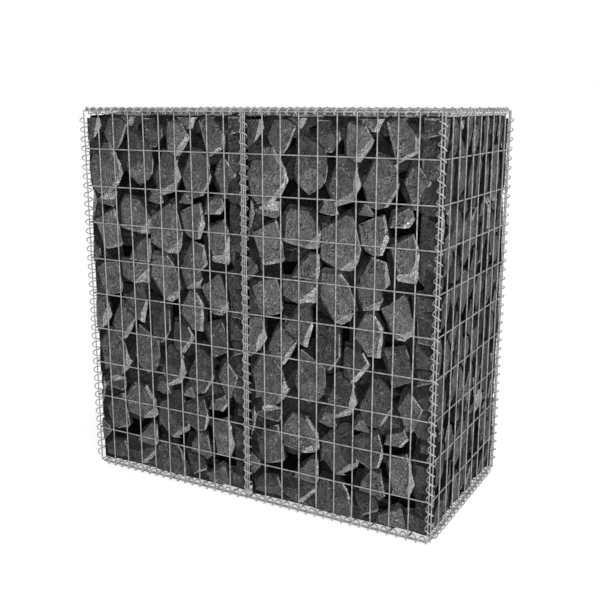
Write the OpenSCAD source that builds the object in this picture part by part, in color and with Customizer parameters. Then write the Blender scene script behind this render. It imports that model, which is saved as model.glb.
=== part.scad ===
// Gabion wall: two wire baskets side by side, laced with spiral binders and filled with broken stone.
// Lengths are in millimetres. X runs along the wall, the front faces -Y and the ground is at Z = 0.

/* [Mesh] */
// Spacing of the upright wires
cell_w = 50; // [46:1:60]
// Spacing of the level wires
cell_h = 100; // [90:2:120]
// Cells along each bay
cells_long = 10; // [6:1:14]
// Cells from front to back
cells_deep = 10; // [6:2:14]
// Cells from bottom to top
cells_high = 10; // [5:1:12]
// Thickness of the mesh wire
wire_d = 3; // [2.4:0.1:3.4]
// How far one wire sinks into the other at a weld
weld_sink = 0.75; // [0.4:0.05:1.2]

/* [Binders] */
// Thickness of the spiral binders' wire
binder_wire_d = 3; // [2.4:0.1:3.4]

/* [Fit] */
// Room between pieces that lie against each other
slack = 0.2; // [0.1:0.05:0.4]
// Gap between the two base panels, and between the two lid panels
seam_gap = 1; // [0.5:0.1:2]
// Room between the stone and the wires round it
fill_gap = 0.5; // [0.3:0.1:3]

/* [Hidden] */
$fn = 48;
wire_sides = 8;
flat_turn = 180 / wire_sides;
wire_r = wire_d / 2;
binder_r = binder_wire_d / 2;

// Welded panels: the level wires lie one layer behind the uprights
layer = wire_d - weld_sink;
bay_long = cells_long * cell_w;
depth = cells_deep * cell_w;
high = cells_high * cell_h;
base_cells = round(depth / cell_h);
edge_gap = layer + wire_d + slack;
seam_x = wire_r + seam_gap / 2;
bay_end_x = edge_gap + bay_long;
end_x = bay_end_x + edge_gap;
front_y = depth / 2 + edge_gap;

// Turns of a binder in one cell, along the width and up the height
turns_in_width = 2;
turns_in_height = 4;

// A binder's half rings are tipped on a slope of 3 in 5, so they reach 4 in 5 of their radius sideways
rise_share = 3 / 5;
reach_share = 4 / 5;
tip = asin(rise_share);
pitch_share = 4 * rise_share;
level_pitch = cell_w / turns_in_width;
upright_pitch = cell_h / turns_in_height;
level_ring_r = level_pitch / pitch_share;
upright_ring_r = upright_pitch / pitch_share;

// Level binders bear on the edge wires of the base and the lid
seat_r = reach_share * level_ring_r - binder_r - wire_r - slack;
base_drop = wire_d + slack;
front_axis_y = (depth / 2 + front_y - layer) / 2;
end_axis_x = (seam_x + bay_long + end_x - layer) / 2;
front_axis_z = sqrt(pow(seat_r, 2) - pow(front_axis_y - depth / 2, 2)) - base_drop - layer;
end_axis_z = sqrt(pow(seat_r, 2) - pow(end_axis_x - seam_x - bay_long, 2)) - base_drop;
middle_axis_z = sqrt(pow(seat_r, 2) - pow(seam_x, 2)) - base_drop;
foot_z = reach_share * level_ring_r + binder_r - front_axis_z;
top_z = foot_z + high;

// Upright binders bear on one edge wire of the panels that they lace
upright_reach = reach_share * upright_ring_r - binder_r - slack - wire_r;
corner_shift = (upright_reach - edge_gap / sqrt(2)) / sqrt(2);
corner_axis_x = bay_end_x + edge_gap / 2 - corner_shift;
corner_axis_y = front_y - edge_gap / 2 + corner_shift;
joint_axis_x = upright_ring_r - binder_r - slack - wire_r - edge_gap;
upright_stop = upright_pitch / 2;
level_stop = level_ring_r + binder_r;

// Each level binder starts this share of a turn past the first wire, so its turns pass between the wires
front_left_start_share = 0.4;
front_right_start_share = 0.28;
deep_start_share = 0.81;

// The stone stands on the base wires, and along its edges it is set back to clear the level binders
core_in_x = level_ring_r + binder_r + fill_gap;
core_out_x = end_axis_x - level_ring_r - binder_r - fill_gap;
core_y = front_axis_y - level_ring_r - binder_r - fill_gap;
core_low_z = foot_z - base_drop + wire_r;
core_high_z = foot_z + top_z - core_low_z;

// Between the level binders it bears on the end and the divider, and clear of the upright ones on the front
panel_back = layer + wire_r + fill_gap;
upright_back = upright_ring_r + binder_r + fill_gap;
wide_in_x = panel_back;
wide_out_x = end_x - panel_back;
wide_y = min(front_y, corner_axis_y) - upright_back;
deep_in_x = abs(joint_axis_x) + upright_back;
deep_out_x = corner_axis_x - upright_back;
deep_y = front_y - panel_back;
top_axis_z = max(front_axis_z, end_axis_z, middle_axis_z);
face_low_z = foot_z + top_axis_z + reach_share * level_ring_r + binder_r + fill_gap;
face_high_z = foot_z + top_z - face_low_z;

bay_xs = [for (i = [0 : cells_long]) i * cell_w];
deep_ys = [for (i = [0 : cells_deep]) (i - cells_deep / 2) * cell_w];
divider_ys = [for (y = deep_ys) abs(y) < depth / 2 ? y : sign(y) * front_y];
base_ys = [for (i = [0 : base_cells]) (i / base_cells - 1 / 2) * depth];
level_zs = [for (i = [0 : cells_high]) i * cell_h];

function span(places) = places[len(places) - 1] - places[0];
function middle(places) = (places[len(places) - 1] + places[0]) / 2;

// One mesh wire of eight flats, lying along Z about the origin
module wire(run) {
    rotate([0, 0, flat_turn])
        cylinder(d = wire_d / cos(flat_turn), h = run, center = true, $fn = wire_sides);
}

// A welded panel that stands in the XZ plane, with its level wires on the +Y side
module mesh(xs, zs) {
    color("silver") {
        for (x = xs)
            translate([x, 0, middle(zs)])
                wire(span(zs) + wire_d);
        for (z = zs)
            translate([middle(xs), layer, z])
                rotate([0, 90, 0])
                    wire(span(xs) + wire_d);
    }
}

// A left-hand spiral that climbs from the origin along Z, made of half rings end to end
module spiral(pitch, run) {
    ring_r = pitch / pitch_share;
    half_turns = floor(run / (pitch / 2));
    color("gainsboro")
        scale(ring_r)
            for (i = [0 : half_turns - 1])
                translate([0, 0, (2 * i + 1) * rise_share])
                    rotate([0, 0, 180 * i])
                        rotate([0, -tip, 0])
                            rotate_extrude(angle = 180)
                                translate([1, 0])
                                    circle(d = binder_wire_d / ring_r);
}

module front_panel(x) {
    translate([x, -front_y, foot_z])
        mesh(bay_xs, level_zs);
}

module end_panel() {
    translate([end_x, 0, foot_z])
        rotate([0, 0, 90])
            mesh(deep_ys, level_zs);
}

module divider_panel() {
    translate([0, 0, foot_z])
        rotate([0, 0, -90])
            mesh(divider_ys, level_zs);
}

module base_panel(x) {
    translate([x, 0, foot_z - base_drop])
        rotate([-90, 0, 0])
            mesh(bay_xs, base_ys);
}

// A quarter turn apart from the joint binders, so that these also pass between the level wires
module corner_binder(side_x, turn) {
    start = upright_stop + upright_pitch / 4;
    translate([side_x * corner_axis_x, -corner_axis_y, foot_z + start])
        rotate([0, 0, turn])
            spiral(upright_pitch, high - start - upright_stop);
}

module joint_binder(side_y) {
    translate([joint_axis_x, side_y * front_y, foot_z + upright_stop])
        rotate([0, 0, side_y * 90])
            spiral(upright_pitch, high - 2 * upright_stop);
}

// A level binder along X at the front of the base, from the bay's first upright at x
module front_base_binder(x, start_share) {
    start = start_share * level_pitch;
    translate([x + start, -front_axis_y, foot_z + front_axis_z])
        rotate([0, 90, 0])
            spiral(level_pitch, bay_long - start);
}

// A level binder along Y on the base, between the binders of the front and the back
module deep_base_binder(x, axis_z) {
    start = deep_start_share * level_pitch;
    translate([x, start - depth / 2, foot_z + axis_z])
        rotate([-90, 0, 0])
            rotate([0, 0, 90])
                spiral(level_pitch, depth - start - level_stop);
}

// Swaps the left front with the right back
module half_round() {
    rotate([0, 0, 180])
        children();
}

// Swaps the front of the base with the back of the lid
module turned_over() {
    translate([0, 0, foot_z + top_z])
        rotate([180, 0, 0])
            children();
}

// A block from one X to another, as deep to the front as to the back, from one height to another
module block(xs, half_depth, zs) {
    translate([xs[0], -half_depth, zs[0]])
        cube([span(xs), 2 * half_depth, span(zs)]);
}

module stone_fill() {
    color("dimgray") {
        block([core_in_x, core_out_x], core_y, [core_low_z, core_high_z]);
        block([wide_in_x, wide_out_x], wide_y, [face_low_z, face_high_z]);
        block([deep_in_x, deep_out_x], deep_y, [face_low_z, face_high_z]);
    }
}

front_panel(-bay_end_x);  // front_panel_left
front_panel(edge_gap);  // front_panel_right
half_round() front_panel(edge_gap);  // back_panel_left
half_round() front_panel(-bay_end_x);  // back_panel_right
half_round() end_panel();  // end_panel_left
end_panel();  // end_panel_right
divider_panel();
base_panel(-seam_x - bay_long);  // base_panel_left
base_panel(seam_x);  // base_panel_right
turned_over() base_panel(-seam_x - bay_long);  // lid_panel_left
turned_over() base_panel(seam_x);  // lid_panel_right

corner_binder(-1, 135);  // front_left_corner_binder
corner_binder(1, 225);  // front_right_corner_binder
half_round() corner_binder(1, 225);  // back_left_corner_binder
half_round() corner_binder(-1, 135);  // back_right_corner_binder
joint_binder(-1);  // front_joint_binder
joint_binder(1);  // back_joint_binder

front_base_binder(-bay_end_x, front_left_start_share);  // front_left_base_binder
front_base_binder(edge_gap, front_right_start_share);  // front_right_base_binder
half_round() front_base_binder(edge_gap, front_right_start_share);  // back_left_base_binder
half_round() front_base_binder(-bay_end_x, front_left_start_share);  // back_right_base_binder
half_round() deep_base_binder(end_axis_x, end_axis_z);  // left_end_base_binder
deep_base_binder(end_axis_x, end_axis_z);  // right_end_base_binder
deep_base_binder(0, middle_axis_z);  // divider_base_binder

turned_over() half_round() front_base_binder(edge_gap, front_right_start_share);  // front_left_lid_binder
turned_over() half_round() front_base_binder(-bay_end_x, front_left_start_share);  // front_right_lid_binder
turned_over() front_base_binder(-bay_end_x, front_left_start_share);  // back_left_lid_binder
turned_over() front_base_binder(edge_gap, front_right_start_share);  // back_right_lid_binder
turned_over() half_round() deep_base_binder(end_axis_x, end_axis_z);  // left_end_lid_binder
turned_over() deep_base_binder(end_axis_x, end_axis_z);  // right_end_lid_binder
turned_over() deep_base_binder(0, middle_axis_z);  // divider_lid_binder

half_round() stone_fill();  // stone_fill_left
stone_fill();  // stone_fill_right
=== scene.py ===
import math
import random

import bmesh
import bpy
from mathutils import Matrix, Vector


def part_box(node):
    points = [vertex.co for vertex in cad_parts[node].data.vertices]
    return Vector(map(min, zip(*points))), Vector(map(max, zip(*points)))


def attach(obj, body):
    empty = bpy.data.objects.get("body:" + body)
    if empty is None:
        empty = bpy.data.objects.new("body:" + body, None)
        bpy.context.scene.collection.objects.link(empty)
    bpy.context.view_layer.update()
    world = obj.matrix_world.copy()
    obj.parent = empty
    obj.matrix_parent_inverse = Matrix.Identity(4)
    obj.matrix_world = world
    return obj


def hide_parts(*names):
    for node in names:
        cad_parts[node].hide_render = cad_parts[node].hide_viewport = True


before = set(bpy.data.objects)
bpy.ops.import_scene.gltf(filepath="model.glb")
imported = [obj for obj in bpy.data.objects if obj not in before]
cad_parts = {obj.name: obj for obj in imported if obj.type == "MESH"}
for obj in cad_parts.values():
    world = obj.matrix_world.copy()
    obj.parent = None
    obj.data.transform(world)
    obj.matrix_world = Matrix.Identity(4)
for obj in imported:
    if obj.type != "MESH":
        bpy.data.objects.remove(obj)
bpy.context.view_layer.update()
bpy.ops.object.select_all(action="DESELECT")

# The welded mesh panels: drawn steel wire, welded at every crossing and then dipped in molten zinc.
# Weathered zinc is a dull silver grey, with paler and darker patches of crystal along each wire.
# The patches and the grit are drawn coarser than real ones, so that they show.
MM = 0.001
PANELS = [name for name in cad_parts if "_panel" in name]
SPANGLE = 9 * MM
ZINC_GRIT = 0.9 * MM
GRIT_HEIGHT = 0.1 * MM
ZINC_METAL = 0.75
DULL_SPREAD = 0.08
PANEL_ZINC = ("8c8d8d", "a2a2a2", "b6b6b5")
PANEL_ROUGHNESS = 0.5


def linear(code):
    """An sRGB hex colour as Blender's linear colour."""
    shares = [int(code[i:i + 2], 16) / 255 for i in (0, 2, 4)]
    return [s / 12.92 if s <= 0.04045 else ((s + 0.055) / 1.055) ** 2.4 for s in shares] + [1]


def add_node(tree, kind, links=None, inputs=None, **settings):
    """A node with its settings, its fixed inputs and what is plugged into it."""
    made = tree.nodes.new(kind)
    for name, value in settings.items():
        setattr(made, name, value)
    for name, value in (inputs or {}).items():
        made.inputs[name].default_value = value
    for name, socket in (links or {}).items():
        tree.links.new(socket, made.inputs[name])
    return made


def new_material(name):
    """An empty node material, its tree and its surface shader."""
    made = bpy.data.materials.new(name)
    made.use_nodes = True
    tree = made.node_tree
    tree.nodes.clear()
    shader = add_node(tree, "ShaderNodeBsdfPrincipled")
    add_node(tree, "ShaderNodeOutputMaterial", {"Surface": shader.outputs["BSDF"]})
    return made, tree, shader


def colour_steps(ramp, steps):
    """Sets a colour ramp's stops from (place, hex colour) pairs."""
    stops = ramp.color_ramp.elements
    while len(stops) < len(steps):
        stops.new(0.5)
    for stop, (place, code) in zip(stops, steps):
        stop.position = place
        stop.color = linear(code)


def galvanised_wire(name, colours, roughness):
    """Hot-dipped zinc: metal, half dull, with crystal patches and a faint grit."""
    dark, mid, pale = colours
    made, tree, shader = new_material(name)
    place = add_node(tree, "ShaderNodeTexCoord")
    patches = add_node(tree, "ShaderNodeTexVoronoi", {"Vector": place.outputs["Object"]},
                       {"Scale": 1 / SPANGLE, "Randomness": 1.0})
    patch = add_node(tree, "ShaderNodeSeparateColor", {"Color": patches.outputs["Color"]})
    zinc = add_node(tree, "ShaderNodeValToRGB", {"Fac": patch.outputs["Red"]})
    colour_steps(zinc, [(0.0, dark), (0.45, mid), (1.0, pale)])
    grit = add_node(tree, "ShaderNodeTexNoise", {"Vector": place.outputs["Object"]},
                    {"Scale": 1 / ZINC_GRIT, "Detail": 3.0})
    dull = add_node(tree, "ShaderNodeMapRange", {"Value": patch.outputs["Green"]},
                    {"To Min": roughness - DULL_SPREAD, "To Max": roughness + DULL_SPREAD})
    bump = add_node(tree, "ShaderNodeBump", {"Height": grit.outputs["Fac"]},
                    {"Strength": 0.25, "Distance": GRIT_HEIGHT})
    shader.inputs["Metallic"].default_value = ZINC_METAL
    tree.links.new(zinc.outputs["Color"], shader.inputs["Base Color"])
    tree.links.new(dull.outputs["Result"], shader.inputs["Roughness"])
    tree.links.new(bump.outputs["Normal"], shader.inputs["Normal"])
    return made


def finish_nodes(names, material):
    """Gives CAD nodes their material."""
    for name in names:
        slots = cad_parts[name].data.materials
        slots.clear()
        slots.append(material)


finish_nodes(PANELS, galvanised_wire("galvanised_mesh_wire", PANEL_ZINC, PANEL_ROUGHNESS))

# The spiral binders: the same wire wound to a spring and screwed along every edge where panels meet.
# Winding polishes the zinc a little, so they are paler and smoother than the panels.
BINDERS = [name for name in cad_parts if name.endswith("_binder")]
BINDER_ZINC = ("9a9b9b", "b0b0b0", "c4c4c3")
BINDER_ROUGHNESS = 0.45
finish_nodes(BINDERS, galvanised_wire("galvanised_binder_wire", BINDER_ZINC, BINDER_ROUGHNESS))

# The stone fill: crushed basalt, hand set against the mesh with flat broken faces outwards, loose behind.
# Each stone is a block split along planes. Flakes are paler than the old faces, partly as paler breaks and
# partly as painted highlight; the rims along the edges that face down and right are painted highlight.
# Sides and shoulders that turn from the light, and old faces that look up, are painted darker: painted
# shade.
FILL_LOW, FILL_HIGH = (Vector(corner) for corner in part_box("stone_fill_right"))
BAY_W = FILL_HIGH.x - FILL_LOW.x

# A face of a bay, in mm: its width, where its stones start and end, and the height after which they repeat.
FACE_W = 500
FACE_LOW, FACE_TOP = 17, 999
COURSE_H = 525

# Each stone's outline from the left edge and from the ground, in mm, and then the lines on its face
# beyond which a flake has come off, with the flake's tilt in degrees where it is an unusual one.
STONES = [
    ([(0, 1027), (36, 1024), (46, 998), (47, 958), (30, 944), (14, 918), (0, 914)], [(43, 1002, 10, 912)]),
    ([(59, 952), (79, 998), (94, 1012), (106, 1000), (134, 972), (112, 925), (102, 912), (91, 912),
      (69, 932)],
     [(130, 972, 106, 920)]),
    ([(104, 487), (116, 503), (144, 544), (179, 540), (185, 500), (167, 438), (151, 446), (134, 460)],
     [(178, 502, 150, 444)]),
    ([(195, 1028), (219, 1036), (256, 1018), (258, 952), (249, 941), (240, 925), (232, 918), (221, 918),
      (197, 943)], []),
    ([(272, 985), (316, 983), (337, 948), (331, 936), (301, 898), (293, 898), (270, 915), (268, 948)],
     [(334, 958, 286, 898)]),
    ([(297, 480), (304, 510), (329, 548), (346, 545), (369, 515), (368, 492), (359, 441), (334, 442)],
     [(365, 505, 340, 438)]),
    ([(362, 980), (372, 986), (429, 1001), (436, 985), (443, 945), (443, 922), (397, 898), (389, 903),
      (378, 938)], [(446, 930, 392, 904)]),
    ([(447, 1012), (500, 1016), (500, 960), (450, 954)], []),
    ([(450, 906), (500, 922), (500, 858), (474, 858), (449, 884)], []),
    ([(454, 950), (500, 952), (500, 928), (456, 912)], []),
    ([(34, 926), (69, 931), (92, 900), (109, 876), (111, 845), (96, 818), (66, 793), (32, 788), (12, 804),
      (1, 850), (6, 878)], [(100, 888, 98, 842), (100, 845, 60, 792)]),
    ([(142, 950), (152, 962), (192, 938), (218, 922), (221, 882), (214, 852), (197, 832), (160, 811),
      (141, 845), (127, 858), (133, 900)], [(134, 853, 216, 855, 13)]),
    ([(222, 848), (240, 882), (250, 908), (271, 909), (295, 888), (307, 848), (285, 808), (247, 796),
      (240, 804)], [(293, 896, 295, 828), (300, 838, 244, 806)]),
    ([(312, 846), (336, 898), (347, 914), (367, 911), (392, 888), (397, 850), (392, 836), (371, 800),
      (347, 793), (327, 798)], [(393, 848, 367, 797)]),
    ([(407, 846), (428, 890), (435, 897), (446, 893), (474, 859), (449, 797), (431, 797)],
     [(470, 860, 445, 797)]),
    ([(456, 848), (500, 850), (500, 785), (460, 788), (452, 800)], []),
    ([(0, 806), (7, 803), (20, 766), (14, 735), (2, 704), (0, 702)], [(14, 790, 1, 702)]),
    ([(20, 776), (49, 787), (92, 785), (92, 766), (82, 757), (44, 762), (24, 768)], [(18, 782, 94, 786)]),
    ([(14, 704), (18, 717), (54, 738), (84, 751), (94, 733), (99, 695), (107, 662), (94, 647), (46, 636),
      (36, 642)], [(110, 664, 40, 642)]),
    ([(101, 750), (119, 779), (137, 803), (154, 803), (172, 780), (186, 778), (198, 750), (203, 731),
      (194, 686), (151, 688), (103, 698)], [(202, 733, 144, 688)]),
    ([(199, 778), (208, 805), (229, 813), (244, 797), (251, 776), (234, 772)], []),
    ([(297, 778), (311, 806), (325, 804), (339, 784), (337, 777)], []),
    ([(370, 778), (388, 784), (393, 806), (409, 811), (434, 787), (438, 776), (422, 754), (380, 754)],
     [(434, 782, 414, 752)]),
    ([(299, 751), (326, 768), (344, 776), (365, 777), (372, 752), (377, 724), (364, 690), (339, 684),
      (319, 694), (307, 708)], [(373, 746, 356, 684)]),
    ([(205, 738), (242, 764), (264, 778), (286, 778), (297, 748), (311, 698), (305, 675), (282, 637),
      (246, 645), (202, 667), (203, 700)], [(312, 694, 242, 647)]),
    ([(457, 779), (500, 776), (500, 640), (474, 622), (461, 628), (453, 662)], []),
    ([(380, 714), (437, 737), (447, 715), (457, 663), (443, 627), (403, 630), (394, 672)],
     [(450, 708, 434, 622), (460, 646, 396, 640)]),
    ([(339, 682), (372, 673), (383, 621), (366, 606), (310, 612), (312, 640)], []),
    ([(301, 616), (359, 614), (367, 586), (356, 553), (319, 553), (309, 574)], [(368, 584, 314, 555)]),
    ([(162, 677), (198, 671), (200, 622), (194, 612), (118, 616), (141, 637)], []),
    ([(97, 609), (195, 613), (193, 594), (184, 550), (142, 550), (112, 558), (97, 566)],
     [(192, 600, 140, 548)]),
    ([(0, 656), (6, 656), (25, 641), (29, 622), (9, 600), (0, 598)], []),
    ([(9, 580), (42, 600), (82, 605), (91, 582), (100, 535), (94, 520), (46, 504), (30, 511), (13, 548)],
     [(102, 530, 40, 510)]),
    ([(197, 610), (211, 635), (264, 632), (280, 614), (293, 582), (295, 548), (272, 514), (248, 500),
      (234, 518), (191, 540)], [(296, 548, 232, 518)]),
    ([(363, 565), (392, 586), (416, 601), (428, 592), (444, 532), (439, 500), (426, 484), (394, 497),
      (379, 530)], [(445, 530, 399, 494)]),
    ([(440, 600), (464, 609), (500, 602), (500, 552), (449, 549), (440, 575)], []),
    ([(448, 545), (500, 546), (500, 488), (453, 489)], []),
]

# Stones that lie a little deeper between those, as outlines. They are painted darker: painted shade where
# the sides of stones turn from the light.
DEEPER = [
    [(0, 604), (12, 600), (20, 548), (34, 506), (20, 478), (0, 476)],
    [(0, 706), (20, 716), (38, 648), (24, 634), (0, 652)],
    [(0, 914), (24, 920), (32, 880), (10, 802), (0, 798)],
    [(96, 900), (141, 951), (138, 895), (126, 853), (111, 852)],
    [(216, 902), (245, 905), (241, 885), (223, 850), (213, 848)],
    [(295, 882), (331, 902), (335, 895), (311, 845), (306, 845)],
    [(340, 958), (368, 968), (383, 915), (358, 920), (343, 932)],
    [(396, 868), (400, 878), (425, 888), (405, 838)],
    [(195, 772), (232, 770), (225, 755), (207, 740)],
    [(50, 995), (81, 992), (58, 955)],
    [(178, 992), (193, 992), (195, 942), (165, 955)],
    [(268, 988), (295, 988), (311, 975), (268, 973)],
    [(0, 698), (11, 707), (21, 692), (33, 632), (25, 635), (0, 672)],
    [(98, 702), (151, 684), (145, 676), (105, 681)],
    [(198, 702), (241, 645), (208, 660), (196, 672)],
    [(308, 677), (335, 675), (298, 617), (291, 622)],
    [(371, 698), (388, 698), (396, 635), (379, 638)],
    [(380, 732), (435, 734), (386, 706), (373, 708)],
    [(98, 598), (111, 598), (141, 558), (136, 550), (98, 552)],
    [(194, 595), (208, 592), (238, 525), (225, 525), (190, 538)],
    [(4, 578), (11, 578), (31, 505), (19, 514), (3, 532)],
    [(15, 600), (68, 607), (15, 580)],
    [(101, 545), (135, 545), (105, 485), (99, 512)],
    [(295, 545), (325, 545), (298, 505), (291, 512)],
    [(361, 552), (391, 503), (371, 508), (363, 532)],
    [(365, 592), (411, 595), (366, 563), (359, 568)],
    [(211, 642), (241, 647), (255, 632), (208, 628)],
    [(191, 532), (238, 512), (231, 503), (195, 505)],
]

# How a stone is split, in mm, degrees and slopes. Each pair is the least and the most.
FORWARD = Vector((0, -1, 0))
OVERCUT = 26
STONE_DEPTH = (45, 62)
FACE_START, FACE_LEAN = 2.5, 0.04
FACETS, FACET_PLACE, FACET_TILT = 2, (0, 0.2), (4, 12)
KNOCK_RIGHT, KNOCK_DOWN, KNOCK_LEAST, KNOCK_CHANCE = 0.75, 0.66, 0.1, 0.12
LID_REACH, FOOT_REACH, FOOT_SLOPE = 8, 5, 0.35
SIDE_SLOPE = (-0.05, 0.35)
# Shoulders: facets mostly along the edges that face up and left, which take the painted shade of the sides.
SHOULDER_W, SHOULDER_SLOPE, SHOULDER_TILT = (6, 15), 0.1, (28, 42)
# Rims: narrow bevels along the knocked edges, coloured with a painted highlight.
RIM_CHANCE, RIM_W, RIM_TILT = 0.85, (1.2, 4.2), (32, 46)
FLAKE_TILT = (30, 40)
EDGE_CUT, CORNER_CUT = 12, 3
SAME_WAY = 0.9995

# How light a face is, from -1 to 1: the painted highlight on rims and flakes, flakes that face straight
# out, the corners of a bay, and painted shade on old faces that look up.
RIM_HIGHLIGHT, FLAKE_PALE_AND_HIGHLIT, BROAD_FLAKE_TONE = (0, 0.4), (0.3, 0.6), -0.2
CORNER_TONE, CORNER_TURN = (-0.2, 0.6), 0.6
OUTWARD, UPWARD_SHADE = 0.95, 2


def at(x, z):
    """A place on a face of stones, in metres."""
    return Vector((x / FACE_W * BAY_W, 0, z * MM))


def split(point, outward):
    """Splits the stone in edit mode along a plane and drops what lies outward."""
    bpy.ops.mesh.select_all(action="SELECT")
    bpy.ops.mesh.bisect(plane_co=point, plane_no=outward, use_fill=True, clear_outer=True,
                        threshold=0.00001)


def tipped(outward, degrees):
    """The way a break looks that falls back by so many degrees towards one side."""
    return outward * math.sin(math.radians(degrees)) + FORWARD * math.cos(math.radians(degrees))


def pick_faces(stone, towards, least):
    """Selects the stone's faces that look along a direction."""
    bpy.ops.mesh.select_all(action="DESELECT")
    bpy.ops.mesh.select_mode(type="FACE")
    cut = bmesh.from_edit_mesh(stone.data)
    for face in cut.faces:
        face.select_set(face.normal.dot(towards) > least)
    bmesh.update_edit_mesh(stone.data)


def shade_stone(stone, rims, tone, bed, draw):
    """Gives each face of a stone its tone, which the stone's colour follows: painted highlight on rims and
    flakes, painted shade on sides, shoulders and old faces that look up.
    """
    tones = stone.data.attributes.new("tone", "FLOAT", "FACE")
    side_shade = min(tone, draw.uniform(*bed["shade"]))
    rim_highlight = draw.uniform(*RIM_HIGHLIGHT)
    flake_pale_and_highlit = draw.uniform(*FLAKE_PALE_AND_HIGHLIT)
    corner_tone = draw.uniform(*CORNER_TONE)
    corner_from = BAY_W / 2 - bed["edge_cut"] * MM
    for face, value in zip(stone.data.polygons, tones.data):
        looks_out = face.normal.dot(FORWARD) > OUTWARD
        if face.material_index and looks_out:
            value.value = BROAD_FLAKE_TONE
        # Rims: painted highlight. Flakes: paler breaks, and painted highlight.
        elif face.material_index:
            is_rim = any(face.normal.dot(way) > SAME_WAY for way in rims)
            value.value = rim_highlight if is_rim else flake_pale_and_highlit
        # Old faces that look up are painted darker: painted shade.
        elif looks_out:
            value.value = tone - UPWARD_SHADE * face.normal.z
        elif abs(face.center.x - BAY_W / 2) > corner_from and abs(face.normal.x) > CORNER_TURN:
            value.value = corner_tone
        # Sides and shoulders: painted shade.
        else:
            value.value = side_shade


def break_stone(outline, flakes, set_back, tone, bed, draw):
    """One stone, its face outlined at Y = 0 and its tail behind. Flakes None means no rims and no flakes,
    which take the painted highlight.
    """
    corners = [at(*corner) for corner in outline]
    low = Vector((min(c.x for c in corners), 0, min(c.z for c in corners)))
    high = Vector((max(c.x for c in corners), 0, max(c.z for c in corners)))
    middle = (low + high) / 2
    room = OVERCUT * MM
    thick = draw.uniform(*STONE_DEPTH) * MM
    size = high - low + Vector((2 * room, thick, 2 * room))
    bpy.ops.mesh.primitive_cube_add(size=1, location=middle + Vector((0, thick / 2, 0)), scale=size)
    stone = bpy.context.object
    bpy.ops.object.transform_apply(location=True, rotation=True, scale=True)
    stone.data.materials.append(OLD_FACE)
    stone.data.materials.append(PALE_BREAK_AND_HIGHLIGHT)
    lean = Vector((draw.uniform(-FACE_LEAN, FACE_LEAN), -1, draw.uniform(-FACE_LEAN, FACE_LEAN)))
    facets = [(middle + Vector((0, FACE_START * MM, 0)), lean)]

    def on_face(spot):
        """A place of the outline, brought back onto the stone's broken face."""
        depths = []
        for point, way in facets:
            depths.append(point.y - way.dot(Vector((spot.x - point.x, 0, spot.z - point.z))) / way.y)
        return Vector((spot.x, max(depths), spot.z))

    def away(first, second):
        """The direction in the face that leads out of the stone across a line."""
        side = (second - first).normalized()
        outward = Vector((-side.z, 0, side.x))
        return outward if outward.dot(middle - first) < 0 else -outward

    bpy.ops.object.mode_set(mode="EDIT")
    for _ in range(FACETS):
        angle = draw.uniform(0, math.tau)
        outward = Vector((math.cos(angle), 0, math.sin(angle)))
        reach = Vector((outward.x * (high.x - low.x), 0, outward.z * (high.z - low.z)))
        start = on_face(middle + reach * draw.uniform(*FACET_PLACE))
        facets.append((start, tipped(outward, draw.uniform(*FACET_TILT))))
    for point, way in facets:
        split(point, way)
    highlit_cuts = []
    rims = []
    for first, second in zip(corners, corners[1:] + corners[:1]):
        outward = away(first, second)
        low_right = outward.x * KNOCK_RIGHT - outward.z * KNOCK_DOWN > KNOCK_LEAST
        knocked = low_right or draw.random() < KNOCK_CHANCE
        at_edge = max(first.x, second.x) < MM or min(first.x, second.x) > BAY_W - MM
        if at_edge or min(first.z, second.z) > (bed["top"] - LID_REACH) * MM:
            split(first, outward)
        elif max(first.z, second.z) < (bed["low"] + FOOT_REACH) * MM:
            split(on_face(first), outward + FORWARD * FOOT_SLOPE)
        elif knocked or flakes is None:
            split(on_face(first), outward - FORWARD * draw.uniform(*SIDE_SLOPE))
        else:
            split(first + outward * draw.uniform(*SHOULDER_W) * MM, outward - FORWARD * SHOULDER_SLOPE)
            split(on_face(first), tipped(outward, draw.uniform(*SHOULDER_TILT)))
        # Most edges that face down and right get a rim, whose pale colour is a painted highlight.
        if flakes is not None and knocked and not at_edge and draw.random() < RIM_CHANCE:
            rims.append(tipped(outward, draw.uniform(*RIM_TILT)))
            highlit_cuts.append((on_face(first - outward * draw.uniform(*RIM_W) * MM), rims[-1]))
    turn_in = Vector((0, (bed["edge_cut"] - set_back) * MM, 0))
    corner_cut = min(bed["edge_cut"], CORNER_CUT)
    bay_sides = [
        (at(0, bed["foot"]), (0, 0, -1)),
        (at(0, bed["top"]), (0, 0, 1)),
        (at(0, 0), (-1, 0, 0)),
        (at(FACE_W, 0), (1, 0, 0)),
        (at(corner_cut, 0), (-1, -1, 0)),
        (at(FACE_W - corner_cut, 0), (1, -1, 0)),
        (at(0, 0) + turn_in, (-1, 1, 0)),
        (at(FACE_W, 0) + turn_in, (1, 1, 0)),
    ]
    for point, way in bay_sides:
        split(point, Vector(way))
    for x1, z1, x2, z2, *tilt in flakes or []:
        first, second = at(x1, z1), at(x2, z2)
        fall = tilt[0] if tilt else draw.uniform(*FLAKE_TILT)
        highlit_cuts.append((on_face(first), tipped(away(first, second), fall)))
    # Rims and flakes take the break material: painted highlight, on flakes also paler breaks.
    for point, way in highlit_cuts:
        split(point, way)
        pick_faces(stone, way, SAME_WAY)
        stone.active_material_index = 1
        bpy.ops.object.material_slot_assign()
    bpy.ops.mesh.select_all(action="SELECT")
    bpy.ops.transform.translate(value=(0, set_back * MM, 0))
    bpy.ops.mesh.normals_make_consistent(inside=False)
    bpy.ops.object.mode_set(mode="OBJECT")
    shade_stone(stone, rims, tone, bed, draw)
    bpy.ops.object.select_all(action="DESELECT")
    return stone


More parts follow.
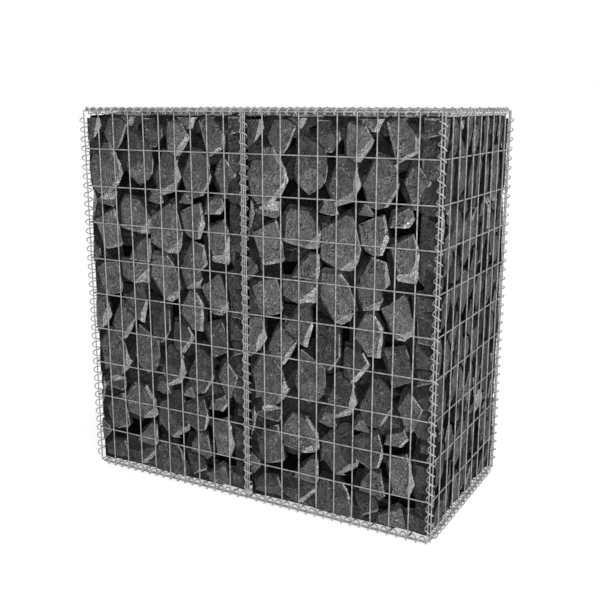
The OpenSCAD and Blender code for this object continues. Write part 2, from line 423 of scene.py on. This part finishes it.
# Broken basalt: dense, nearly black rock with a matt, finely ridged break and nests of pale crystals.
# Its grain and crystals are drawn coarser than real ones, so that they show. Its fine ridges are painted
# shade and painted highlight in its colour, darker on one side of each ridge and lighter on the other.
GRAIN, PATCH, RIDGE_GAP, CRYSTAL_GAP = 4 * MM, 30 * MM, 9 * MM, 14 * MM
RIDGE_STEP = (1.8 * MM, 1.4 * MM, -1.8 * MM)
RELIEF_GAP, RELIEF_HEIGHT = 16 * MM, 12 * MM
STONE_GLOSS = 0.02
# Colours along a face's tone, from -1 to 1: the dark end is painted shade, for sides, for stones that lie
# back and for the mass behind.
OLD_TONES = [(0.0, "040404"), (0.25, "202020"), (0.5, "434343"), (1.0, "606060")]
OLD_CRYSTAL, OLD_ROUGHNESS = "a8a8a6", 0.88
# The break colours: painted highlight for rims, and paler breaks with painted highlight for flakes.
PALE_BREAK_HIGHLIGHT_TONES = [(0.0, "303030"), (0.3, "444444"), (0.5, "727271"), (1.0, "a8a8a6")]
PALE_BREAK_HIGHLIGHT_CRYSTAL, FRESH_ROUGHNESS = "c0c0be", 0.82


def broken_basalt(name, tones, crystal, roughness):
    """The rock's colour follows each face's tone, then grain, patches, the painted shade and highlight of
    ridges, and crystals.
    """
    made, tree, shader = new_material(name)
    place = add_node(tree, "ShaderNodeTexCoord")
    where = {"Vector": place.outputs["Object"]}
    stone_tone = add_node(tree, "ShaderNodeAttribute", attribute_name="tone")
    depth = add_node(tree, "ShaderNodeMapRange", {"Value": stone_tone.outputs["Fac"]},
                     {"From Min": -1.0, "From Max": 1.0})
    body = add_node(tree, "ShaderNodeValToRGB", {"Fac": depth.outputs["Result"]})
    colour_steps(body, tones)
    grain = add_node(tree, "ShaderNodeTexNoise", where,
                     {"Scale": 1 / GRAIN, "Detail": 2.0, "Roughness": 0.6})
    patches = add_node(tree, "ShaderNodeTexNoise", where, {"Scale": 1 / PATCH, "Detail": 3.0})
    grained = add_node(tree, "ShaderNodeMapRange", {"Value": grain.outputs["Fac"]},
                       {"From Min": 0.34, "From Max": 0.66, "To Min": 0.8, "To Max": 1.2})
    clouded = add_node(tree, "ShaderNodeMapRange", {"Value": patches.outputs["Fac"]},
                       {"From Min": 0.3, "From Max": 0.7, "To Min": 0.7, "To Max": 1.3})
    # Ridges: the noise here less the noise a step beside it, lighter on one side and darker on the other:
    # painted highlight and painted shade.
    beside = add_node(tree, "ShaderNodeVectorMath", {0: place.outputs["Object"]}, {1: RIDGE_STEP})
    swirl = {"Scale": 1 / RIDGE_GAP, "Detail": 1.0, "Roughness": 0.5, "Distortion": 1.6}
    here = add_node(tree, "ShaderNodeTexNoise", where, swirl)
    there = add_node(tree, "ShaderNodeTexNoise", {"Vector": beside.outputs["Vector"]}, swirl)
    slope = add_node(tree, "ShaderNodeMath", {0: here.outputs["Fac"], 1: there.outputs["Fac"]},
                     operation="SUBTRACT")
    ridge_shade_and_highlight = add_node(tree, "ShaderNodeMapRange", {"Value": slope.outputs[0]},
                     {"From Min": -0.16, "From Max": 0.16, "To Min": -0.7, "To Max": 0.8})
    spread = add_node(tree, "ShaderNodeSeparateColor", {"Color": patches.outputs["Color"]})
    lively = add_node(tree, "ShaderNodeMapRange", {"Value": spread.outputs["Green"]},
                      {"From Min": 0.42, "From Max": 0.62, "To Min": 0.25, "To Max": 1.0})
    painted_ridge_shading = add_node(tree, "ShaderNodeMath", {0: ridge_shade_and_highlight.outputs["Result"], 1: lively.outputs["Result"]},
                      {2: 1.0}, operation="MULTIPLY_ADD")
    even = add_node(tree, "ShaderNodeMath", {0: grained.outputs["Result"], 1: clouded.outputs["Result"]},
                    operation="MULTIPLY")
    shade = add_node(tree, "ShaderNodeMath", {0: even.outputs[0], 1: painted_ridge_shading.outputs[0]},
                     operation="MULTIPLY")
    shaded = add_node(tree, "ShaderNodeVectorMath",
                      {0: body.outputs["Color"], "Scale": shade.outputs[0]}, operation="SCALE")
    crystals = add_node(tree, "ShaderNodeTexVoronoi", where,
                        {"Scale": 1 / CRYSTAL_GAP, "Randomness": 1.0})
    glints = add_node(tree, "ShaderNodeMapRange", {"Value": crystals.outputs["Distance"]},
                      {"From Min": 0.22, "From Max": 0.1, "To Min": 0.0, "To Max": 0.6})
    # Crystals fade with the tone, so that they fade in the painted shade too.
    lit = add_node(tree, "ShaderNodeMapRange", {"Value": stone_tone.outputs["Fac"]},
                   {"From Min": -0.4, "From Max": 0.2})
    nests = add_node(tree, "ShaderNodeMapRange", {"Value": patches.outputs["Fac"]},
                     {"From Min": 0.5, "From Max": 0.56})
    nested = add_node(tree, "ShaderNodeMath", {0: lit.outputs["Result"], 1: nests.outputs["Result"]},
                      operation="MULTIPLY")
    shown = add_node(tree, "ShaderNodeMath", {0: glints.outputs["Result"], 1: nested.outputs[0]},
                     operation="MULTIPLY")
    flecked = add_node(tree, "ShaderNodeMix", {"Factor": shown.outputs[0]}, data_type="RGBA")
    tree.links.new(shaded.outputs["Vector"], flecked.inputs[6])
    flecked.inputs[7].default_value = linear(crystal)
    heights = add_node(tree, "ShaderNodeTexNoise", where,
                       {"Scale": 1 / RELIEF_GAP, "Detail": 2.0, "Roughness": 0.6, "Distortion": 1.2})
    bump = add_node(tree, "ShaderNodeBump", {"Height": heights.outputs["Fac"]},
                    {"Strength": 1.0, "Distance": RELIEF_HEIGHT})
    dull = add_node(tree, "ShaderNodeMapRange", {"Value": grain.outputs["Fac"]},
                    {"To Min": roughness - 0.1, "To Max": roughness + 0.06})
    tree.links.new(flecked.outputs[2], shader.inputs["Base Color"])
    tree.links.new(dull.outputs["Result"], shader.inputs["Roughness"])
    tree.links.new(bump.outputs["Normal"], shader.inputs["Normal"])
    shader.inputs["Specular IOR Level"].default_value = STONE_GLOSS
    return made


OLD_FACE = broken_basalt("weathered_basalt", OLD_TONES, OLD_CRYSTAL, OLD_ROUGHNESS)
# The break material: painted highlight, and on flakes paler breaks.
PALE_BREAK_AND_HIGHLIGHT = broken_basalt("basalt_break_pale_and_painted_highlight", PALE_BREAK_HIGHLIGHT_TONES, PALE_BREAK_HIGHLIGHT_CRYSTAL, FRESH_ROUGHNESS)

# How the stones of a face are set, in mm: how far back each kind lies, and how light it is. The farther
# back a kind lies, the darker it is painted, and the stones at a face's right edge a little darker too:
# painted shade.
FOOT_PLAY, TOP_PLAY, SMALLEST = (0, 4), (0, 7), 12
SET_BACK = (0, 4)
CORNER_BACK, CORNER_STONE_TONE = (4, 8), -0.12
DEEPER_BACK, DEEPER_SHADE = (5, 9), 0.3
BORDER_BACK, BORDER_TONE = (6, 9), (-0.5, -0.2)
BORDER_COLUMNS, BORDER_ROW_H, BORDER_LAP, BORDER_TAPER = 5, 95, 6, 8
BORDER_H, BORDER_W = (36, 54), (28, 46)
REAR_BACK, REAR_TONES = (14, 30), (-1, -0.9, -0.55, -0.4)
REAR_COLUMNS, REAR_ROW_H, REAR_CORNERS = 6, 110, 7
REAR_REACH_X, REAR_REACH_Z = 58, 72
REAR_OVER_FOOT, REAR_UNDER_TOP = 4, 6
REAR_JITTER, CORNER_JITTER = 0.2, 0.25
SHOWN_FACES, FACE_CUTS = 0.3, 2
COARSE_WAVE, COARSE_WAVE_H = 30 * MM, 2.2 * MM
FINE_WAVE, FINE_WAVE_H = 9 * MM, 1.2 * MM
SHARP_EDGE = 20


def clipped(outline, axis, low, high):
    """A convex outline cut off at two levels across or up the face."""
    for level, keep in ((low, 1), (high, -1)):
        kept = []
        for first, second in zip(outline, outline[1:] + outline[:1]):
            if (first[axis] - level) * keep >= 0:
                kept.append(first)
            if (first[axis] - level) * (second[axis] - level) < 0:
                share = (level - first[axis]) / (second[axis] - first[axis])
                kept.append(tuple(a + (b - a) * share for a, b in zip(first, second)))
        outline = kept
    return outline


def too_small(outline):
    """Whether an outline is only a sliver."""
    if len(outline) < 3:
        return True
    spans = [max(c[axis] for c in outline) - min(c[axis] for c in outline) for axis in (0, 1)]
    return min(spans) < SMALLEST


def border_outlines(bed, draw):
    """Outlines along the four sides of a face, for stones that close it off."""
    low, high = bed["low"], bed["top"]
    outlines = []
    for i in range(BORDER_COLUMNS):
        left = max(i * FACE_W / BORDER_COLUMNS - BORDER_LAP, 0)
        right = min((i + 1) * FACE_W / BORDER_COLUMNS + BORDER_LAP, FACE_W)
        for level, inward in ((low, 1), (high, -1)):
            outlines.append([(left, level), (right, level),
                             (right - BORDER_TAPER, level + inward * draw.uniform(*BORDER_H)),
                             (left + BORDER_TAPER, level + inward * draw.uniform(*BORDER_H))])
    rows = round((high - low) / BORDER_ROW_H)
    for i in range(rows):
        down = max(low + i * (high - low) / rows - BORDER_LAP, low)
        up = min(low + (i + 1) * (high - low) / rows + BORDER_LAP, high)
        for edge, inward in ((0, 1), (FACE_W, -1)):
            outlines.append([(edge, down), (edge + inward * draw.uniform(*BORDER_W), down),
                             (edge + inward * draw.uniform(*BORDER_W), up), (edge, up)])
    return outlines


def rear_outline(middle_x, middle_z, bed, draw):
    """A rounded outline, for a stone behind the others."""
    turn = draw.uniform(0, 1)
    outline = []
    for i in range(REAR_CORNERS):
        angle = math.tau * (i + turn + draw.uniform(-CORNER_JITTER, CORNER_JITTER)) / REAR_CORNERS
        x = middle_x + REAR_REACH_X * math.cos(angle)
        z = middle_z + REAR_REACH_Z * math.sin(angle)
        outline.append((min(max(x, 0), FACE_W),
                        min(max(z, bed["low"] + REAR_OVER_FOOT), bed["top"] - REAR_UNDER_TOP)))
    return outline


def select_only(objects):
    """Selects these objects alone and makes the first one active."""
    bpy.ops.object.select_all(action="DESELECT")
    for each in objects:
        each.select_set(True)
    bpy.context.view_layer.objects.active = objects[0]


def roughen(piece, size, amount):
    """Moves every corner a little, as no break is quite flat or straight."""
    cloud = bpy.data.textures.new("stone_waves", "CLOUDS")
    cloud.cloud_type = "COLOR"
    cloud.noise_scale = size
    cloud.noise_depth = 2
    waves = piece.modifiers.new("waves", "DISPLACE")
    waves.texture = cloud
    waves.texture_coords = "LOCAL"
    waves.direction = "RGB_TO_XYZ"
    waves.mid_level = 0.5
    waves.strength = amount
    bpy.ops.object.modifier_apply(modifier=waves.name)


def set_stone(outline, flakes, shift, stretch, start, bed, draw):
    """One stone of the lists in its place on a face, or None where it lies outside."""
    kept = [(x * stretch + start, z + shift) for x, z in outline]
    kept = clipped(kept, 1, bed["low"] + draw.uniform(*FOOT_PLAY), bed["top"] - draw.uniform(*TOP_PLAY))
    kept = clipped(kept, 0, 0, FACE_W)
    if too_small(kept):
        return None
    # Deeper stones are painted darker still than the sides: painted shade.
    if flakes is None:
        set_back = draw.uniform(*DEEPER_BACK)
        tone = draw.uniform(*bed["shade"]) - DEEPER_SHADE
        return break_stone(kept, None, set_back, tone, bed, draw)
    lines = [(x1 * stretch + start, z1 + shift, x2 * stretch + start, z2 + shift, *tilt)
             for x1, z1, x2, z2, *tilt in flakes]
    # Stones at the right edge lie back and are painted a little darker: painted shade.
    if max(x for x, _ in outline) == FACE_W:
        set_back, tone = draw.uniform(*CORNER_BACK), CORNER_STONE_TONE
    else:
        set_back, tone = draw.uniform(*SET_BACK), draw.uniform(*bed["lit"])
    return break_stone(kept, lines, set_back, tone, bed, draw)


def lay_face(name, bed, shifts, across, draw):
    """All the stones of one face: the lists' stones, those along its sides and those behind, joined."""
    low, high = bed["low"], bed["top"]
    laid = []
    for shift in shifts:
        for stretch, start in across:
            for outline, flakes in STONES + [(outline, None) for outline in DEEPER]:
                laid.append(set_stone(outline, flakes, shift, stretch, start, bed, draw))
    # Stones along the sides are painted darker: painted shade.
    for outline in border_outlines(bed, draw):
        set_back, tone = draw.uniform(*BORDER_BACK), draw.uniform(*BORDER_TONE)
        laid.append(break_stone(outline, None, set_back, tone, bed, draw))
    # Stones behind are painted dark to nearly black: painted shade in the gaps.
    rows = max(2, round((high - low) / REAR_ROW_H))
    for row in range(rows):
        for column in range(REAR_COLUMNS):
            x = (column + 0.5 + draw.uniform(-REAR_JITTER, REAR_JITTER)) * FACE_W / REAR_COLUMNS
            z = low + (row + 0.5 + draw.uniform(-REAR_JITTER, REAR_JITTER)) * (high - low) / rows
            outline = rear_outline(x, z, bed, draw)
            set_back, tone = draw.uniform(*REAR_BACK), draw.choice(REAR_TONES)
            laid.append(break_stone(outline, None, set_back, tone, bed, draw))
    select_only([stone for stone in laid if stone is not None])
    bpy.ops.object.join()
    face = bpy.context.object
    face.name = name
    bpy.ops.object.mode_set(mode="EDIT")
    pick_faces(face, FORWARD, SHOWN_FACES)
    bpy.ops.mesh.poke()
    bpy.ops.mesh.subdivide(number_cuts=FACE_CUTS)
    bpy.ops.object.mode_set(mode="OBJECT")
    roughen(face, COARSE_WAVE, COARSE_WAVE_H)
    roughen(face, FINE_WAVE, FINE_WAVE_H)
    bpy.ops.object.shade_smooth_by_angle(angle=math.radians(SHARP_EDGE))
    return face


def placed(face, name, turns, stretch, move):
    """A copy of a face of stones, stretched, turned about X and then Z, and moved into its bay."""
    select_only([face])
    bpy.ops.object.duplicate()
    piece = bpy.context.object
    piece.name = name
    piece.scale = stretch
    bpy.ops.object.transform_apply(location=True, rotation=True, scale=True)
    piece.rotation_euler = (math.radians(turns[0]), 0, math.radians(turns[1]))
    bpy.ops.object.transform_apply(location=True, rotation=True, scale=True)
    piece.location = move
    bpy.ops.object.transform_apply(location=True, rotation=True, scale=True)
    return piece


# The three faces of stones: the front's, which the back repeats, the end's, narrower, and a flat one.
draw = random.Random(7)
# The end's stones are painted lighter than the front's, as painted light, and its sides and deeper stones
# darker, as painted shade.
FRONT_SHADE, END_SHADE = (-0.45, -0.1), (-0.85, -0.2)
FRONT_LIT, END_LIT = (-0.05, 0.9), (0.3, 1.25)
END_STONE_W, END_STARTS = 0.726, (-336, 27, 390)
FLAT_LOW = FACE_TOP - COURSE_H
wall_bed = {"foot": FILL_LOW.z / MM, "low": FACE_LOW, "top": FACE_TOP, "edge_cut": EDGE_CUT,
            "shade": FRONT_SHADE, "lit": FRONT_LIT}
end_bed = {**wall_bed, "edge_cut": 0, "shade": END_SHADE, "lit": END_LIT}
flat_bed = {**wall_bed, "foot": FLAT_LOW, "low": FLAT_LOW}
courses = (COURSE_H, 0, -COURSE_H)
wall_face = lay_face("wall_face", wall_bed, courses, [(1, 0)], draw)
end_face = lay_face("end_face", end_bed, courses, [(END_STONE_W, start) for start in END_STARTS], draw)
flat_face = lay_face("flat_face", flat_bed, (COURSE_H, 0), [(1, 0)], draw)

# Where the faces go, and the rough mass behind them: a block, and a strip of it along the divider.
INSET, LID_GAP = 0.5 * MM, 2 * MM
END_W, END_START = 477 * MM, 238.5 * MM
FLAT_W, FLAT_D = 472 * MM, 470 * MM
DIVIDER_GAP, CORE_LIFT, CORE_DROP = 6.5 * MM, 45 * MM, 30 * MM
CORE_BEHIND = 46 * MM
STRIP_W, STRIP_BEHIND = 45 * MM, 19 * MM
CORE_CUTS, CORE_WAVE, CORE_WAVE_H = 24, 50 * MM, 12 * MM
INSIDE_TONE = -0.6
end_stretch = (END_W / BAY_W, 1, 1)
flat_stretch = (FLAT_W / BAY_W, 1, FLAT_D / (COURSE_H * MM))
flat_mid_y = (FACE_TOP - COURSE_H / 2) * MM * flat_stretch[2]
bay_middle = (FILL_LOW.x + FILL_HIGH.x) / 2
for side, mark in ((-1, "left"), (1, "right")):
    start_x = FILL_LOW.x if side > 0 else -FILL_HIGH.x
    stop_x = FILL_HIGH.x if side > 0 else -FILL_LOW.x
    flat_x = side * bay_middle - FLAT_W / 2
    rubble = [
        placed(wall_face, "stones_front_" + mark, (0, 0), (1, 1, 1), (start_x, FILL_LOW.y + INSET, 0)),
        placed(wall_face, "stones_back_" + mark, (0, 180), (1, 1, 1), (stop_x, FILL_HIGH.y - INSET, 0)),
        placed(end_face, "stones_end_" + mark, (0, side * 90), end_stretch,
               (side * (FILL_HIGH.x - INSET), -side * END_START, 0)),
        placed(flat_face, "stones_top_" + mark, (-90, 0), flat_stretch,
               (flat_x, -flat_mid_y, FILL_HIGH.z - LID_GAP)),
        placed(flat_face, "stones_foot_" + mark, (90, 0), flat_stretch,
               (flat_x, flat_mid_y, FILL_LOW.z + INSET)),
    ]
    masses = []
    for reach_x, reach_y in ((FILL_HIGH.x - CORE_BEHIND, FILL_HIGH.y - CORE_BEHIND),
                             (FILL_LOW.x + STRIP_W, FILL_HIGH.y - STRIP_BEHIND)):
        low = Vector((FILL_LOW.x + DIVIDER_GAP, -reach_y, FILL_LOW.z + CORE_LIFT))
        high = Vector((reach_x, reach_y, FACE_TOP * MM - CORE_DROP))
        middle = (low + high) / 2
        bpy.ops.object.select_all(action="DESELECT")
        bpy.ops.mesh.primitive_cube_add(size=1, location=(side * middle.x, middle.y, middle.z),
                                        scale=high - low)
        bpy.ops.object.transform_apply(location=True, rotation=True, scale=True)
        bpy.ops.object.mode_set(mode="EDIT")
        bpy.ops.mesh.select_all(action="SELECT")
        bpy.ops.mesh.subdivide(number_cuts=CORE_CUTS)
        bpy.ops.object.mode_set(mode="OBJECT")
        masses.append(bpy.context.object)
    select_only(masses)
    bpy.ops.object.join()
    core = bpy.context.object
    core.name = "stones_inside_" + mark
    roughen(core, CORE_WAVE, CORE_WAVE_H)
    core.data.materials.append(OLD_FACE)
    # The mass is painted dark: painted shade deep behind the stones.
    tones = core.data.attributes.new("tone", "FLOAT", "FACE")
    tones.data.foreach_set("value", [INSIDE_TONE] * len(core.data.polygons))
    rubble.append(core)
    for piece in rubble:
        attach(piece, "root")
        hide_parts("stone_fill_" + mark)
for pattern in (wall_face, end_face, flat_face):
    bpy.data.objects.remove(pattern)

# The floor: a plain pale studio floor, which takes the wall's soft shadow.
# To the camera it is white, as the backdrop is.
FLOOR_SIZE = 40
FLOOR_COLOUR, FLOOR_LIFT = "d8d8d8", 0.55


def seen_straight(tree):
    """A node that gives 1 where the camera, bright metal or glass looks, and 0 for the light itself."""
    rays = add_node(tree, "ShaderNodeLightPath")
    eye = add_node(tree, "ShaderNodeMath",
                   {0: rays.outputs["Is Camera Ray"], 1: rays.outputs["Is Glossy Ray"]},
                   operation="MAXIMUM")
    return add_node(tree, "ShaderNodeMath", {0: eye.outputs[0], 1: rays.outputs["Is Transmission Ray"]},
                    operation="MAXIMUM")


bpy.ops.object.select_all(action="DESELECT")
bpy.ops.mesh.primitive_plane_add(size=FLOOR_SIZE, location=(0, 0, 0))
floor = bpy.context.object
floor.name = "studio_floor"
paint, tree, shader = new_material("matt_floor_paint")
shader.inputs["Base Color"].default_value = linear(FLOOR_COLOUR)
shader.inputs["Roughness"].default_value = 0.95
shader.inputs["Specular IOR Level"].default_value = 0.0
lift = add_node(tree, "ShaderNodeEmission", {"Strength": seen_straight(tree).outputs[0]})
lift.inputs["Color"].default_value = (FLOOR_LIFT, FLOOR_LIFT, FLOOR_LIFT, 1)
both = add_node(tree, "ShaderNodeAddShader", {0: shader.outputs["BSDF"], 1: lift.outputs["Emission"]})
tree.links.new(both.outputs["Shader"], tree.nodes["Material Output"].inputs["Surface"])
floor.data.materials.append(paint)

# The light: a white room for an even level, and a broad lamp at the front right, a bit above the lid.
# The room is plain white where the camera or a bright wire looks at it.
ROOM_LEVEL = 0.66
LAMP_SIZE, LAMP_POWER = 2.4, 166
LAMP_PLACE, LAMP_AIM = Vector((2.7, -3.15, 1.35)), Vector((0, 0, 0.5))
world = bpy.data.worlds.new("white_room")
bpy.context.scene.world = world
world.use_nodes = True
sky = world.node_tree
sky.nodes.clear()
level = add_node(sky, "ShaderNodeMapRange", {"Value": seen_straight(sky).outputs[0]},
                 {"To Min": ROOM_LEVEL, "To Max": 1.0})
room = add_node(sky, "ShaderNodeBackground", {"Strength": level.outputs["Result"]})
room.inputs["Color"].default_value = (1, 1, 1, 1)
add_node(sky, "ShaderNodeOutputWorld", {"Surface": room.outputs["Background"]})

lamp = bpy.data.lights.new("broad_lamp", "AREA")
lamp.shape = "DISK"
lamp.size = LAMP_SIZE
lamp.energy = LAMP_POWER
lamp_stand = bpy.data.objects.new("broad_lamp", lamp)
bpy.context.scene.collection.objects.link(lamp_stand)
lamp_stand.location = LAMP_PLACE
lamp_stand.visible_glossy = False
lamp_stand.rotation_euler = (LAMP_AIM - LAMP_PLACE).to_track_quat("-Z", "Y").to_euler()

# The camera: at the height of the lid, to the right of the front, with a normal lens.
EYE = (1.1475, -2.0319, 1.0278)
TURN, DIP = 29.10, 12.857
SENSOR = 36
FOCAL_SHARE = 858.27 / 600
camera = bpy.data.cameras.new("camera")
camera.sensor_width = SENSOR
camera.lens = SENSOR * FOCAL_SHARE
camera_stand = bpy.data.objects.new("camera", camera)
bpy.context.scene.collection.objects.link(camera_stand)
camera_stand.location = EYE
camera_stand.rotation_euler = (math.radians(90 - DIP), 0, math.radians(TURN))
bpy.context.scene.camera = camera_stand
bpy.context.scene.view_settings.view_transform = "Standard"
